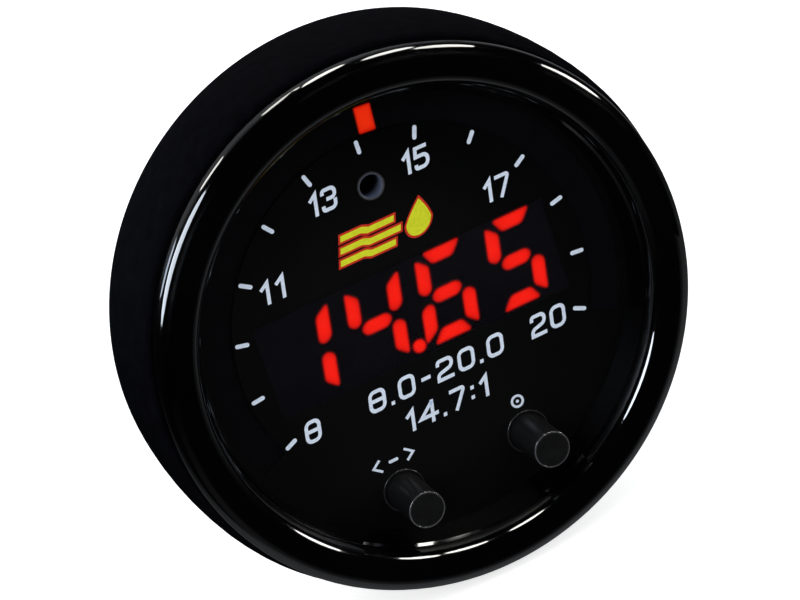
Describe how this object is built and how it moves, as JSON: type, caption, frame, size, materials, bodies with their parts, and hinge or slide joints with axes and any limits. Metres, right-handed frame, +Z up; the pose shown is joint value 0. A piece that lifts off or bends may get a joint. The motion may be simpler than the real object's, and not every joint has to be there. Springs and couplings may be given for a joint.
{
  "type": "air fuel ratio gauge",
  "caption": "Slim round dash gauge with a lit segment readout, a ring of sweep bars, push buttons and a rear cup with mounting studs and plug sockets.",
  "frame": {"origin": "on the gauge's axis, in the plane of the shoulder that rests on the dash around the mounting hole", "axes": "+Z up on the dial, +Y from the dial back through the cup along the axis, +X to the right of a driver who reads the dial"},
  "size_m": [0.0598, 0.04, 0.0598],
  "materials": {
    "bezel_plastic": "gloss black, moulded",
    "body_plastic": "fine matte texture, black",
    "button_plastic": "satin black",
    "seal_rubber": "matte black",
    "dial_print": "black print with pale blue figures",
    "filter_sheet": "smoked, dark",
    "reflector_plastic": "matte dark grey",
    "lit_resin": "red, lit from behind",
    "dark_resin": "unlit, dark",
    "board_laminate": "green solder mask",
    "led_package": "clear resin on white",
    "chip_plastic": "black moulding compound",
    "ferrite": "dark grey ferrite",
    "plunger_nylon": "natural nylon",
    "spring_steel": "bright",
    "pale_nylon": "natural nylon",
    "contact_brass": "plated",
    "can_aluminium": "bright",
    "ceramic": "ceramic",
    "zinc_steel": "zinc plated"
  },
  "bodies": {
    "gauge": {"housing": "body_plastic", "bezel": "bezel_plastic", "face_gasket": "seal_rubber", "dial_film": "dial_print", "smoked_filter": "filter_sheet", "light_box": "reflector_plastic", "segments_lit": "lit_resin", "segments_dark": "dark_resin", "sweep_bar_lit": "lit_resin", "sweep_bars_dark": "dark_resin", "display_board": "board_laminate", "segment_leds": "led_package", "sweep_leds": "led_package", "light_sensor": "chip_plastic", "led_drivers": "chip_plastic", "mode_dome": "spring_steel", "mode_switch_base": "chip_plastic", "mode_switch_cover": "spring_steel", "select_dome": "spring_steel", "select_switch_base": "chip_plastic", "select_switch_cover": "spring_steel", "link_header": "chip_plastic", "link_pins": "contact_brass", "spacers": "pale_nylon", "control_board": "board_laminate", "microcontroller": "chip_plastic", "sensor_driver": "chip_plastic", "regulator": "chip_plastic", "power_inductor": "ferrite", "filter_capacitors": "can_aluminium", "crystal": "can_aluminium", "passives": "ceramic", "sensor_header": "pale_nylon", "sensor_pins": "contact_brass", "power_header": "chip_plastic", "power_pins": "contact_brass", "rear_cup": "body_plastic", "mounting_studs": "zinc_steel", "clamp_screws": "zinc_steel"},
    "mode_control": {"mode_button": "button_plastic", "mode_plunger": "plunger_nylon"},
    "select_control": {"select_button": "button_plastic", "select_plunger": "plunger_nylon"}
  },
  "joints": [
    {"name": "mode_press", "type": "slide", "parent": "gauge", "child": "mode_control", "axis": [0, 1, 0], "range_m": [0, 0.00035], "stiffness_N_per_m": 6000, "springref_m": -0.00005, "deforming": ["mode_dome"]},
    {"name": "select_press", "type": "slide", "parent": "gauge", "child": "select_control", "axis": [0, 1, 0], "range_m": [0, 0.00035], "stiffness_N_per_m": 6000, "springref_m": -0.00005, "deforming": ["select_dome"]}
  ]
}
